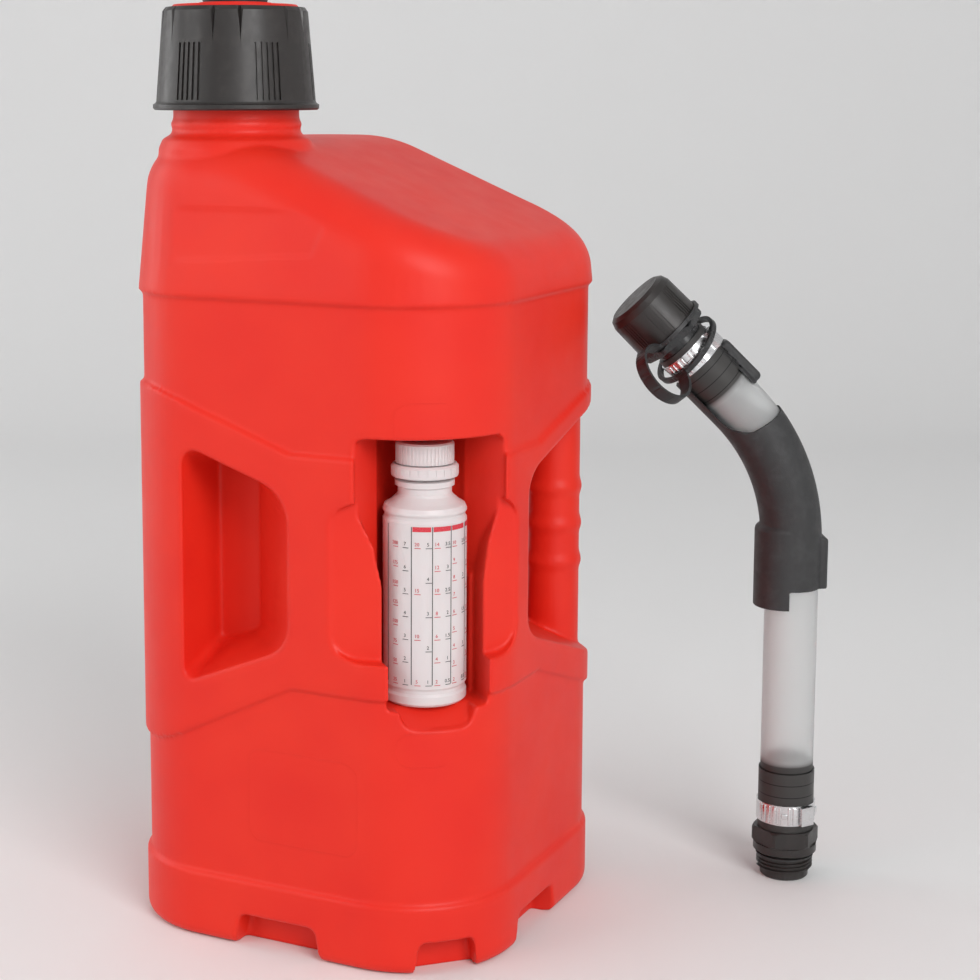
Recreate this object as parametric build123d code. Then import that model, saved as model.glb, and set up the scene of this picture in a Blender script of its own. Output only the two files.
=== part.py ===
from build123d import *
from math import atan2, cos, degrees, hypot, radians, sin, sqrt, tan
import os

# A 20 litre jerry can with a mixing bottle in its front corner and a pouring hose.
# Origin: middle of the base on the floor. +Z up. The wide front face looks to -Y.
# Corners: bottle at (+X, -Y), neck at (-X, -Y), grip at (+X, +Y).

# ---------- tank body ----------
WALL_X = 118.0            # half width of the plain wall
WALL_Y = 113.5            # half depth of the plain wall
CORNER_R = 58.0           # corner radius of the plain wall
BOTTLE_CORNER_R = 67.0    # larger corner radius where the bottle sits
PROUD = 2.6               # how far the raised bands stand off the plain wall
SKIN = 3.0                # moulded wall thickness
BASE_BAND_TOP = 41.0
SHOULDER_Z = 388.0
PLATEAU_Z = 478.0         # flat top around the neck
SLOPE_X = 30.0            # a point on the sloping top: where it is ...
SLOPE_Z = 453.0           # ... and how high
SLOPE = 0.425             # fall per millimetre towards +X
SLOPE_BLEND_R = 100.0
LEAN_DEG = 5.5            # inward lean of the shoulder walls
TOP_ROUND_R = 30.0
PANEL_DEPTH = 0.9         # the blank panel's depth in the shoulder's front
BASE_ROUND_R = 7.0

# ---------- waist band ----------
BAND_LOW = 163.0
BAND_HIGH = 301.0
BAND_KNEE = 76.0          # diagonal distance from the centre where the band starts to widen
BAND_RISE_NECK = 0.50     # upper edge, towards the neck corner
BAND_FALL_NECK = 0.70     # lower edge, towards the neck corner
BAND_RISE_GRIP = 0.38
BAND_FALL_GRIP = 0.50

# ---------- grip corner ----------
GRIP_WALL = 64.0          # diagonal distance of the wall behind the fingers
GRIP_LOW = 188.0
GRIP_HIGH = 284.0
GRIP_RISE = 0.395
GRIP_FALL = 0.487
GRIP_ROUND_R = 20.0
POST_R = 16.4
POST_RIDGE = 1.5
POST_SETBACK = 0.5        # the post's skin stays this far inside the corner
POST_RIDGES_Z = (208.0, 232.0, 256.0)

# ---------- finger pockets beside the neck corner ----------
POCKET_DEPTH = 40.0

# ---------- bottle bay ----------
BOTTLE_X = 74.0
BOTTLE_Y = -74.0
BAY_FLOOR = 156.7
BAY_CEILING = 313.0
BAY_R = 27.5
BAY_HALF = 30.0           # half width of the mouth beside the bottle
BAY_TOP_LEFT = 46.0       # half widths of the mouth beside the bottle's cap
BAY_TOP_RIGHT = 42.0
BAY_TOP_LOW = 276.0
BAY_NARROW_Z = 228.0      # where the wide mouth has narrowed to the trough
BAY_LIP_Z = 146.0         # low point of the lip in front of the bay's floor
SCOOP_LEFT = 58.0         # reach of the shallow scoops beside the trough
SCOOP_RIGHT = 52.0
SCOOP_LOW = 184.0
SCOOP_HIGH = 276.0
SCOOP_CORNER_R = 16.0

# ---------- feet ----------
NOTCH_HEIGHT = 20.0
NOTCH_DEPTH = 13.0
NOTCH_HALF = 30.0

# ---------- neck and main cap ----------
NECK_X = -60.5
NECK_Y = -56.0
NECK_R = 37.6
NECK_BORE_R = 33.4
NECK_RIM = 537.8
PEDESTAL_R = 46.5
PEDESTAL_Z = 480.5
CAP_PITCH = 6.0
CAP_THREAD_H = 2.2
NECK_THREAD_Z = 506.0     # where the neck's thread starts
CAP_THREAD_Z = 500.0      # where the collar's thread starts
CAP_BASE = 495.2
CAP_TOP = 555.3
CAP_FLANGE_R = 49.5
CAP_BODY_R = 47.5
CAP_TOP_R = 43.0
FLUTE_LEN = 20.0
CAP_BORE_R = 40.4
CAP_LIP_R = 37.9
CAP_LIP_Z = 546.4
GASKET_T = 2.5
INSERT_R = 37.6
INSERT_TOP = 556.9
BOSS_R = 21.4
BOSS_TOP = 558.2
PORT_PITCH = 2.4
PORT_ROOT_R = 18.3        # deepest radius of the port's inside thread
PORT_LOW = 533.8
PLUG_R = 16.8             # root of the outside thread of the plug and of the hose coupling
THREAD_H = 1.2
PLUG_HEAD_R = 19.4
PLUG_HEAD_TOP = 560.2

# ---------- mixing bottle ----------
BOTTLE_Z = 157.0
BOTTLE_R = 24.3
BOTTLE_SKIN = 1.2
BOTTLE_SHOULDER = 272.5
BOTTLE_NECK_R = 14.2
BOTTLE_RIM = 305.0
BOTTLE_PITCH = 3.0
BOTTLE_THREAD_Z = 297.0
BOTTLE_CAP_TOP = 308.2

# ---------- pouring hose, in its own upright plane ----------
HOSE_TURN_DEG = 207.5     # the hose's bend points this way round +Z, at the can's grip corner
HOSE_X = 229.5
HOSE_Y = 143.7
HOSE_R = 16.8
HOSE_BORE_R = 13.6
HOSE_FOOT = 33.0          # where the hose sits on the coupling's hex
HOSE_STRAIGHT = 223.0     # top of the straight upright run
BEND_R = 124.0
BEND_DEG = 45.0
SPOUT_RUN = 54.0          # straight run of hose after the bend
HEX_ACROSS = 38.0
HEX_LOW = 22.5            # foot of the coupling's hex
SPIGOT_R = 15.4           # plain lead-in ahead of the coupling's thread
FITTING_BORE_R = 10.0     # way through both hose fittings
NOZZLE_R = 17.6
BARB_LEN = 47.0
GRIP_R = 19.4
GRIP_SHIFT = 1.2          # the grip's axis sits this far to the inside of the bend
PALM_SHIFT = 4.8          # the grip's lower part is thicker on the inside
PALM_TOP = 233.0
PAD_LOW = 191.0           # thumb pad on the outside
PAD_TOP = 225.0
TONGUE_LOW = 3.0          # tongue beside the spout fitting, along the straight run
SLEEVE_LOW = 180.0
SLEEVE_RUN = 36.0         # how far the grip follows the straight run
SLEEVE_GAP = 0.25
SPOUT_CAP_R = 23.4
SPOUT_PITCH = 3.0
STRAP_REACH = 58.0        # how far the cap's strap loops out from the spout's axis
STRAP_WIDTH = 8.0
STRAP_TURN_DEG = 58.0     # which way the loop points, so that it clears the can


def box_between(low, high):
    """Box from its low corner to its high corner."""
    size = [b - a for a, b in zip(low, high)]
    middle = [(a + b) / 2 for a, b in zip(low, high)]
    return Pos(*middle) * Box(*size)


def cylinder(radius, low, high, x=0.0, y=0.0):
    """Upright cylinder between two heights."""
    return Pos(x, y, (low + high) / 2) * Cylinder(radius, high - low)


def tube(outer, inner, low, high, x=0.0, y=0.0):
    """Upright tube between two heights."""
    return cylinder(outer, low, high, x, y) - cylinder(inner, low - 1, high + 1, x, y)


def turned(points):
    """Solid of revolution about Z from a closed outline of (radius, height) points."""
    outline = Polyline(*[(r, 0, z) for r, z in points], close=True)
    return revolve(make_face(outline), Axis.Z)


def prism_xz(points, low_y, high_y, radii=None):
    """Outline of (x, z) points, run along Y; radii rounds the corners one by one."""
    flat = [(x, z) for x, z in points]
    face = make_face(Polyline(*flat, close=True))
    if radii:
        for (x, z), radius in zip(flat, radii):
            if radius:
                corner = face.vertices().sort_by_distance((x, z, 0))[0]
                face = fillet(corner, radius)
    sheet = Plane((0, low_y, 0), x_dir=(1, 0, 0), z_dir=(0, -1, 0)) * face
    return extrude(sheet, high_y - low_y, dir=(0, 1, 0))


def prism_yz(points, low_x, high_x, radii=None):
    """Outline of (y, z) points, run along X."""
    return Rot(0, 0, 90) * prism_xz(points, -high_x, -low_x, radii)


def helix_ridge(radius, height, pitch, turns, low, base, tip, outward=True, phase=0.0):
    """Right-hand thread ridge that stands out of, or into, a wall of the given radius."""
    sink = 0.25
    sign = 1 if outward else -1
    path = Helix(pitch, pitch * turns, radius)
    section = make_face(Polyline(
        (radius - sign * sink, 0, -base / 2),
        (radius + sign * height, 0, -tip / 2),
        (radius + sign * height, 0, tip / 2),
        (radius - sign * sink, 0, base / 2),
        close=True,
    ))
    ridge = sweep(section, path=path, is_frenet=True)
    return Pos(0, 0, low) * Rot(0, 0, phase) * ridge


def on_diagonal(shape, x=0.0, y=0.0, turn=-45.0):
    """Turn a shape about Z so that its +X looks along a diagonal, then set it down."""
    return Pos(x, y, 0) * Rot(0, 0, turn) * shape


def wall_outline(grow):
    """Plan outline of the tank; grow moves it outwards all round."""
    half_x = WALL_X + grow
    half_y = WALL_Y + grow
    face = Rectangle(2 * half_x, 2 * half_y).face()
    big = face.vertices().sort_by_distance((half_x, -half_y, 0))[0]
    small = [v for v in face.vertices() if (v.center() - big.center()).length > 1]
    face = fillet(small, CORNER_R + grow)
    left = face.vertices().sort_by_distance((half_x, -half_y, 0))[0]
    return fillet(left, BOTTLE_CORNER_R + grow)


def upright(grow, low, high, taper=0.0):
    """The tank's plan outline run upwards."""
    return extrude(Pos(0, 0, low) * wall_outline(grow), high - low, taper=taper)


def top_side_view(drop):
    """Everything below the tank's top surface, as a solid run along Y."""
    angle = atan2(SLOPE, 1)
    height = PLATEAU_Z - drop
    meet_x = SLOPE_X - (height - (SLOPE_Z - drop)) / SLOPE
    reach = SLOPE_BLEND_R * tan(angle / 2)
    start = (meet_x - reach, height)
    finish = (meet_x + reach * cos(angle), height - reach * sin(angle))
    far = WALL_X + 40
    far_z = SLOPE_Z - drop - SLOPE * (far - SLOPE_X)
    side = Polyline(finish, (far, far_z), (far, 0), (-far, 0), (-far, height), start)
    blend = TangentArc(start, finish, tangent=(1, 0))
    face = make_face(side + blend)
    sheet = Plane((0, WALL_Y + 40, 0), x_dir=(1, 0, 0), z_dir=(0, -1, 0)) * face
    return extrude(sheet, 2 * WALL_Y + 80, dir=(0, -1, 0))


def shoulder(grow, low, drop, round_r):
    """Upper part of the tank: leaning walls, sloping top, rounded all round."""
    block = upright(grow, low, PLATEAU_Z + 40, taper=LEAN_DEG) & top_side_view(drop)
    top_edges = [e for e in block.edges() if e.center().Z > low + 15 and on_top(e, low)]
    return fillet(top_edges, round_r)


def on_top(edge, low):
    """True for an edge of the top surface's rim."""
    ends = [v.center() for v in edge.vertices()]
    rim = WALL_Y - 40
    across = all(hypot(p.X, p.Y) > rim for p in ends)
    return across and all(p.Z > low + 15 for p in ends) and not runs_over_top(edge)


def runs_over_top(edge):
    """True for a seam that crosses the top from front to back."""
    ends = [v.center() for v in edge.vertices()]
    return abs(ends[0].Y - ends[-1].Y) > 120 and abs(edge.center().X) < WALL_X - 40


def diagonal_prism(points, radii=None):
    """Profile of (diagonal distance, height) points, run along the other diagonal."""
    reach = 3 * WALL_X
    return Rot(0, 0, 45) * prism_xz(points, -reach, reach, radii)


def waist_band():
    """Raised band round the middle, widening towards the neck and grip corners."""
    far = 200.0
    run = far - BAND_KNEE
    profile = [
        (-far, BAND_LOW - BAND_FALL_NECK * run),
        (-BAND_KNEE, BAND_LOW),
        (BAND_KNEE, BAND_LOW),
        (far, BAND_LOW - BAND_FALL_GRIP * run),
        (far, BAND_HIGH + BAND_RISE_GRIP * run),
        (BAND_KNEE, BAND_HIGH),
        (-BAND_KNEE, BAND_HIGH),
        (-far, BAND_HIGH + BAND_RISE_NECK * run),
    ]
    return upright(PROUD, 60, SHOULDER_Z - 5) & diagonal_prism(profile)


def grip_cut(grow):
    """The space cut out of the grip corner; grow makes it larger all round."""
    wall = GRIP_WALL - grow
    low = GRIP_LOW - grow
    high = GRIP_HIGH + grow
    far = 200.0
    profile = [
        (wall, low),
        (far, low - GRIP_FALL * (far - wall)),
        (far, high + GRIP_RISE * (far - wall)),
        (wall, high),
    ]
    return diagonal_prism(profile, [GRIP_ROUND_R + grow, 0, 0, GRIP_ROUND_R + grow])


def grip_post():
    """Round post of the grip, with ridges that part the fingers."""
    low = 130.0
    high = 345.0
    inset = (POST_R + POST_SETBACK) / sqrt(2)
    middle = CORNER_R / sqrt(2)
    x = WALL_X - CORNER_R + middle - inset
    y = WALL_Y - CORNER_R + middle - inset
    outline = [(0, low), (POST_R, low)]
    for z in POST_RIDGES_Z:
        outline += [(POST_R, z - 6), (POST_R + POST_RIDGE, z - 1), (POST_R + POST_RIDGE, z + 1)]
        outline += [(POST_R, z + 6)]
    outline += [(POST_R, high), (0, high)]
    return Pos(x, y, 0) * turned(outline) & upright(0, low, high)


def pocket_outline(points, radii, y, grow):
    """One rounded outline of the finger pocket, stood up at a depth."""
    middle_x = sum(x for x, z in points) / 4
    middle_z = sum(z for x, z in points) / 4
    moved = []
    for x, z in points:
        moved.append((x + (grow if x > middle_x else -grow), z + (grow if z > middle_z else -grow)))
    face = make_face(Polyline(*moved, close=True))
    for corner, radius in zip(moved, radii):
        face = fillet(face.vertices().sort_by_distance((*corner, 0))[0], radius + grow)
    return Plane((0, y, 0), x_dir=(1, 0, 0), z_dir=(0, -1, 0)) * face


def pocket(grow):
    """Finger pocket in the front face: upright left wall, sloping right wall."""
    rim = [(-65, 157), (8, 187), (8, 277), (-65, 302)]
    back = [(-65, 174), (-36, 184), (-36, 280), (-65, 292)]
    rim_outline = pocket_outline(rim, [6, 20, 26, 9], -WALL_Y - PROUD - 1, grow)
    back_outline = pocket_outline(back, [4, 8, 10, 5], -WALL_Y + POCKET_DEPTH + grow, grow)
    return loft([rim_outline, back_outline], ruled=True)


def side_pocket(grow):
    """The same pocket in the left side face, mirrored about the neck corner's diagonal."""
    swapped = mirror(pocket(grow), about=Plane((0, 0, 0), x_dir=(0, 0, 1), z_dir=(1, -1, 0)))
    return Pos(WALL_Y - WALL_X, WALL_X - WALL_Y, 0) * swapped


def bay_cut(grow):
    """The bottle's bay: trough, wider upper mouth, a shallow scoop each side and a dipped lip."""
    low = BAY_FLOOR - grow
    high = BAY_CEILING + grow
    reach = 60.0
    trough = cylinder(BAY_R + grow, low, high)
    trough += box_between((0, -BAY_HALF - grow, low), (reach, BAY_HALF + grow, high))
    cut = trough + bay_mouth(grow, reach) + bay_scoops(grow, reach) + bay_lip(grow, reach)
    return on_diagonal(cut, BOTTLE_X, BOTTLE_Y)


def bay_mouth(grow, reach):
    """The part beside the bottle's cap, narrowing downwards to the trough's width."""
    near = 6.0
    left = BAY_TOP_LEFT + grow
    right = BAY_TOP_RIGHT + grow
    inner = BAY_R + grow
    plan = Polyline((-near, inner), (18 - grow, right), (reach, right), (reach, -left),
                    (10 - grow, -left), (-near, -inner), close=True)
    block = extrude(Pos(0, 0, BAY_NARROW_Z) * make_face(plan), BAY_CEILING + grow - BAY_NARROW_Z)
    slim = BAY_HALF + grow + 0.2
    outline = [
        (-slim, BAY_NARROW_Z), (-slim - 4, 250), (-left, BAY_TOP_LOW - grow), (-left, BAY_CEILING + grow),
        (right, BAY_CEILING + grow), (right, BAY_TOP_LOW - grow), (slim + 3, 250), (slim, BAY_NARROW_Z),
    ]
    curtain = prism_yz(outline, -near - 1, reach, [0, 20, 8, 7, 7, 8, 20, 0])
    return block & curtain


def bay_scoops(grow, reach):
    """Shallow dished cuts beside the trough, deepest at the trough's edge."""
    left = SCOOP_LEFT + grow
    right = SCOOP_RIGHT + grow
    slim = BAY_HALF + grow - 0.5
    plan = Polyline((17 - grow, 0), (17 - grow, slim), (12 - grow, right), (reach, right),
                    (reach, -left), (0 - grow, -left), (14 - grow, -slim), (14 - grow, 0), close=True)
    block = extrude(Pos(0, 0, SCOOP_LOW - grow) * make_face(plan), SCOOP_HIGH - SCOOP_LOW + 2 * grow)
    outline = [(-left, SCOOP_LOW - grow), (right, SCOOP_LOW - grow), (right, SCOOP_HIGH + grow),
               (-left, SCOOP_HIGH + grow)]
    curtain = prism_yz(outline, -20, reach, [SCOOP_CORNER_R] * 4)
    return block & curtain


def bay_lip(grow, reach):
    """The dip in the wall in front of the bottle's foot."""
    outline = [(-26 - grow, 162), (-20 - grow, BAY_LIP_Z - grow), (17 + grow, BAY_LIP_Z - grow),
               (24 + grow, 162)]
    dip = prism_yz(outline, 14 - grow, reach, [0, 8, 8, 0])
    slope = [(14 - grow, BAY_FLOOR - grow), (29 - grow, BAY_LIP_Z - 1 - grow), (reach, BAY_LIP_Z - 1 - grow),
             (reach, 163), (14 - grow, 163)]
    return dip & prism_xz(slope, -40, 40)


def foot_notches(grow):
    """Notches in the base band between the feet; grow makes them larger."""
    high = NOTCH_HEIGHT + grow
    top_half = NOTCH_HALF - 5 + grow
    face = [(-NOTCH_HALF - grow, -5), (NOTCH_HALF + grow, -5), (top_half, high), (-top_half, high)]
    radii = [0, 0, 5, 5]
    depth = NOTCH_DEPTH + grow
    run = prism_xz(face, -depth, 30, radii)
    front = Pos(-3, -WALL_Y, 0) * Rot(0, 0, 180) * run
    right = Pos(WALL_X, -14, 0) * Rot(0, 0, -90) * run
    back = Pos(-3, WALL_Y, 0) * run
    left = Pos(-WALL_X, -3, 0) * Rot(0, 0, 90) * run
    small = [(x * 0.66, z) for x, z in face]
    corner_x = WALL_X - BOTTLE_CORNER_R * (1 - 1 / sqrt(2))
    corner_y = -WALL_Y + BOTTLE_CORNER_R * (1 - 1 / sqrt(2))
    corner = Pos(corner_x, corner_y, 0) * Rot(0, 0, -135) * prism_xz(small, -depth, 30, radii)
    return front + right + back + left + corner


def logo_panel():
    """Blank sunken parallelogram on the upper front face."""
    face = [(-90, 407), (22, 414), (33, 440), (-90, 440)]
    lean = radians(LEAN_DEG)
    sheet = prism_xz(face, -1.0, 14.0, [0, 3, 3, 0])
    wall_y = -WALL_Y - PROUD + (425 - SHOULDER_Z) * tan(lean)
    return Pos(0, wall_y + PANEL_DEPTH, 0) * front_lean(sheet, 425)


def front_lean(shape, height):
    """Lean a shape back by the shoulder's angle about a level line at a height."""
    lowered = Pos(0, 0, -height) * shape
    return Pos(0, 0, height) * Rot(-LEAN_DEG, 0, 0) * Pos(0, -14, 0) * lowered


def tank():
    """The blow-moulded tank, hollow, with its neck."""
    base = fillet(upright(PROUD, 0, BASE_BAND_TOP).edges().group_by(Axis.Z)[0], BASE_ROUND_R)
    outer = base + upright(0, 20, SHOULDER_Z + 10) + waist_band()
    outer += shoulder(PROUD, SHOULDER_Z, 0, TOP_ROUND_R)
    outer += neck_solid()
    outer -= grip_cut(0)
    outer -= pocket(0) + side_pocket(0)
    outer -= bay_cut(0)
    outer -= foot_notches(0)
    outer -= logo_panel()
    outer += grip_post()
    inner = upright(-SKIN, SKIN + 1, SHOULDER_Z + 10)
    inner += shoulder(PROUD - SKIN - 0.5, SHOULDER_Z, SKIN + 0.5, TOP_ROUND_R)
    inner -= grip_cut(SKIN) + pocket(SKIN) + side_pocket(SKIN)
    inner -= bay_cut(SKIN)
    inner -= foot_notches(SKIN)
    inner += cylinder(NECK_BORE_R, PLATEAU_Z - 40, NECK_RIM + 5, NECK_X, NECK_Y)
    return outer - inner


def neck_solid():
    """Pedestal, neck and outside thread."""
    outline = [
        (0, PLATEAU_Z - 45), (PEDESTAL_R + 1.5, PLATEAU_Z - 45), (PEDESTAL_R, PEDESTAL_Z - 8),
        (PEDESTAL_R - 2.4, PEDESTAL_Z - 2.4), (PEDESTAL_R - 7, PEDESTAL_Z), (NECK_R + 1, PEDESTAL_Z + 1.5),
        (NECK_R + 0.2, PEDESTAL_Z + 4), (NECK_R + 1.4, PEDESTAL_Z + 5), (NECK_R + 1.4, PEDESTAL_Z + 7.5),
        (NECK_R, PEDESTAL_Z + 8.5), (NECK_R, NECK_RIM), (0, NECK_RIM),
    ]
    ridge = helix_ridge(NECK_R, CAP_THREAD_H, CAP_PITCH, 3.25, NECK_THREAD_Z, 3.0, 1.4)
    return Pos(NECK_X, NECK_Y, 0) * (turned(outline) + ridge)


def collar_groove(angle, radius_low, radius_high, low, high, depth, width):
    """A straight sunk line up the collar's leaning side, as a thin leaning box."""
    lean = degrees(atan2(radius_low - radius_high, high - low))
    length = hypot(radius_low - radius_high, high - low)
    bar = Box(2 * depth, width, length)
    middle = (radius_low + radius_high) / 2
    return Rot(0, 0, angle) * Pos(middle, 0, (low + high) / 2) * Rot(0, -lean, 0) * bar


def collar_radius(height):
    """Outside radius of the collar at a height above the flange."""
    part = (height - CAP_BASE - 4) / (CAP_TOP - CAP_BASE - 4)
    return CAP_BODY_R + (CAP_TOP_R - CAP_BODY_R) * part


def cap_collar():
    """Ribbed ring nut that holds the insert on the neck."""
    body = turned([
        (CAP_BORE_R, CAP_BASE), (CAP_FLANGE_R - 1, CAP_BASE), (CAP_FLANGE_R, CAP_BASE + 1),
        (CAP_FLANGE_R, CAP_BASE + 3.2), (CAP_BODY_R + 0.6, CAP_BASE + 4), (CAP_BODY_R, CAP_BASE + 5),
        (CAP_TOP_R + 0.2, CAP_TOP - 2.4), (CAP_TOP_R - 1.6, CAP_TOP), (CAP_LIP_R, CAP_TOP),
        (CAP_LIP_R, CAP_LIP_Z), (CAP_BORE_R, CAP_LIP_Z),
    ])
    panel_low = CAP_BASE + 6
    panel_high = CAP_TOP - 21
    cuts = []
    for panel in range(6):
        centre = panel * 60 - 35.5
        for rib in range(5):
            cuts.append(collar_groove(centre + (rib - 2) * 4.5, collar_radius(panel_low),
                                      collar_radius(panel_high), panel_low, panel_high, 1.1, 1.5))
        for side in (-19.5, 19.5):
            flute_low = CAP_TOP - FLUTE_LEN
            wedge = Rot(0, 0, centre + side) * Pos(0, 0, flute_low) * flute_wedge()
            cuts.append(wedge)
    for cut in cuts:
        body -= cut
    turns = 3.25
    ridge = helix_ridge(CAP_BORE_R, CAP_THREAD_H, CAP_PITCH, turns, CAP_THREAD_Z, 3.0, 1.4,
                        outward=False, phase=180)
    return Pos(NECK_X, NECK_Y, 0) * (body + ridge)


def flute_wedge():
    """V-shaped notch cutter that deepens towards the collar's top."""
    rise = FLUTE_LEN + 2
    shallow = Polyline((CAP_TOP_R + 1.4, 0), (CAP_TOP_R + 7, -2.0), (CAP_TOP_R + 7, 2.0), close=True)
    deep = Polyline((CAP_TOP_R - 2.6, 0), (CAP_TOP_R + 5, -6.6), (CAP_TOP_R + 5, 6.6), close=True)
    bottom = make_face(shallow)
    top = make_face(deep)
    return loft([bottom, Pos(0, 0, rise) * top], ruled=True)


def cap_gasket():
    """Flat ring between the neck's rim and the insert."""
    return tube(NECK_R, NECK_BORE_R + 0.3, NECK_RIM, NECK_RIM + GASKET_T, NECK_X, NECK_Y)


def cap_insert():
    """Red disc with the threaded filling port in its middle."""
    flange_low = NECK_RIM + GASKET_T
    body = turned([
        (BOSS_R, PORT_LOW), (BOSS_R, flange_low), (CAP_BORE_R - 0.4, flange_low),
        (CAP_BORE_R - 0.4, CAP_LIP_Z - 0.3), (INSERT_R, CAP_LIP_Z - 0.3), (INSERT_R, INSERT_TOP - 1),
        (INSERT_R - 1, INSERT_TOP), (INSERT_R - 4, INSERT_TOP), (INSERT_R - 6, INSERT_TOP - 4),
        (BOSS_R + 2, INSERT_TOP - 4), (BOSS_R, INSERT_TOP - 3), (BOSS_R, BOSS_TOP),
        (PORT_ROOT_R, BOSS_TOP), (PORT_ROOT_R, PORT_LOW),
    ])
    ridge = helix_ridge(PORT_ROOT_R, THREAD_H, PORT_PITCH, 7, PORT_LOW + 2, 1.7, 0.3,
                        outward=False, phase=180)
    return Pos(NECK_X, NECK_Y, 0) * (body + ridge)


def port_plug():
    """Plug screwed into the filling port, with a coin slot across its head."""
    seat = BOSS_TOP + 0.9
    body = turned([
        (0, PORT_LOW + 4), (PLUG_R - 1.5, PORT_LOW + 4), (PLUG_R, PORT_LOW + 5.5), (PLUG_R, seat),
        (PLUG_HEAD_R, seat), (PLUG_HEAD_R, PLUG_HEAD_TOP - 0.6), (PLUG_HEAD_R - 0.6, PLUG_HEAD_TOP),
        (0, PLUG_HEAD_TOP),
    ])
    body -= cylinder(PLUG_R - 3, PORT_LOW, BOSS_TOP - 3)
    body -= box_between((-12, -1.6, PLUG_HEAD_TOP - 1.2), (12, 1.6, PLUG_HEAD_TOP + 1))
    ridge = helix_ridge(PLUG_R, THREAD_H, PORT_PITCH, 5, PORT_LOW + 6.8, 1.7, 0.3)
    return Pos(NECK_X, NECK_Y, 0) * (body + ridge)


def plug_gasket():
    """Flat ring under the plug's head."""
    return tube(PLUG_HEAD_R - 0.4, PORT_ROOT_R + 0.1, BOSS_TOP, BOSS_TOP + 0.9, NECK_X, NECK_Y)


def mixing_bottle():
    """Translucent measuring bottle, hollow, open at its neck."""
    z = BOTTLE_Z
    r = BOTTLE_R
    top = BOTTLE_SHOULDER
    neck = BOTTLE_NECK_R
    outer = [
        (0, z + 1.5), (r - 6, z + 1.5), (r - 5, z), (r - 1.6, z), (r, z + 1.6), (r, z + 6),
        (r - 0.9, z + 7.5), (r - 0.9, z + 9.5), (r, z + 11), (r, z + 107), (r - 0.9, z + 108.5),
        (r - 0.9, z + 110), (r, z + 111.5), (r, top - 3), (r - 1, top - 0.6), (r - 4, top + 1.2),
        (neck + 2.2, top + 4.6), (neck + 1.4, top + 6), (neck + 1.4, top + 9.6), (neck + 3, top + 10.4),
        (neck + 3, top + 13.4), (neck, top + 14.4), (neck, BOTTLE_RIM), (0, BOTTLE_RIM),
    ]
    s = BOTTLE_SKIN
    inner = [
        (0, z + 1.5 + s), (r - 4, z + 1.5 + s), (r - 0.9 - s, z + 4), (r - 0.9 - s, top - 3),
        (r - 5.4, top), (neck - s, top + 4), (neck - s, BOTTLE_RIM + 1), (0, BOTTLE_RIM + 1),
    ]
    ridge = helix_ridge(neck, 1.1, BOTTLE_PITCH, 2.2, BOTTLE_THREAD_Z, 1.5, 0.6)
    return Pos(BOTTLE_X, BOTTLE_Y, 0) * (turned(outer) + ridge - turned(inner))


def bottle_cap():
    """Ribbed screw cap with a dished top."""
    neck = BOTTLE_NECK_R
    low = 296.0
    outer = neck + 2.7
    bore = neck + 1.5
    ceiling = BOTTLE_RIM + 1.5
    body = turned([
        (bore, low), (outer, low), (outer, BOTTLE_CAP_TOP - 1), (outer - 1, BOTTLE_CAP_TOP),
        (outer - 3.4, BOTTLE_CAP_TOP), (outer - 4, BOTTLE_CAP_TOP - 0.5), (0, BOTTLE_CAP_TOP - 0.5),
        (0, ceiling), (bore, ceiling),
    ])
    for step in range(48):
        body -= Rot(0, 0, step * 7.5) * Pos(outer + 0.15, 0, (low + BOTTLE_CAP_TOP - 1.6) / 2) * Box(
            0.9, 0.9, BOTTLE_CAP_TOP - 1.6 - low)
    ridge = helix_ridge(bore, 1.1, BOTTLE_PITCH, 1.8, BOTTLE_THREAD_Z + 1.5, 1.5, 0.6, outward=False)
    return Pos(BOTTLE_X, BOTTLE_Y, 0) * (body + ridge)


def bottle_cap_liner():
    """Soft sealing disc in the bottle's cap."""
    return cylinder(BOTTLE_NECK_R + 1.2, BOTTLE_RIM, BOTTLE_RIM + 1.5, BOTTLE_X, BOTTLE_Y)


def tamper_ring():
    """Broken-off lower ring of the cap, loose above the neck bead."""
    neck = BOTTLE_NECK_R
    low = 288.3
    high = 295.4
    body = turned([(neck + 1.6, low), (neck + 5, low), (neck + 5.3, low + 1), (neck + 5.3, high - 1.4),
                   (neck + 4.2, high), (neck + 1.6, high)])
    for step in range(24):
        body -= Rot(0, 0, step * 15) * Pos(neck + 5.6, 0, (low + high) / 2) * Box(1.2, 0.8, 4)
    return Pos(BOTTLE_X, BOTTLE_Y, 0) * body


def place_hose(shape):
    """Move a piece from the hose's own upright plane to where the hose stands."""
    return Pos(HOSE_X, HOSE_Y, 0) * Rot(0, 0, HOSE_TURN_DEG) * shape


def bend_plane():
    """Frame at the end of the bend: Z along the spout, X towards the can and down."""
    turn = radians(BEND_DEG)
    x = BEND_R * (1 - cos(turn))
    z = HOSE_STRAIGHT + BEND_R * sin(turn)
    return Plane((x, 0, z), x_dir=(cos(turn), 0, -sin(turn)), z_dir=(sin(turn), 0, cos(turn)))


def on_spout(shape):
    """Move a piece built upright from z = 0 to the straight run after the bend."""
    return bend_plane().location * shape


def run_round(radius, low, run, shift=0.0):
    """Round bar along the hose's bend, in three lengths; shift moves it to the bend's inner side."""
    upright_bar = cylinder(radius, low, HOSE_STRAIGHT, shift)
    disc = Pos(shift, 0, HOSE_STRAIGHT) * Circle(radius).face()
    axis = Axis((BEND_R, 0, HOSE_STRAIGHT), (0, 1, 0))
    bend_bar = revolve(disc, axis, revolution_arc=BEND_DEG)
    slant_bar = on_spout(cylinder(radius, 0, run, shift))
    return upright_bar + bend_bar + slant_bar


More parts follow.
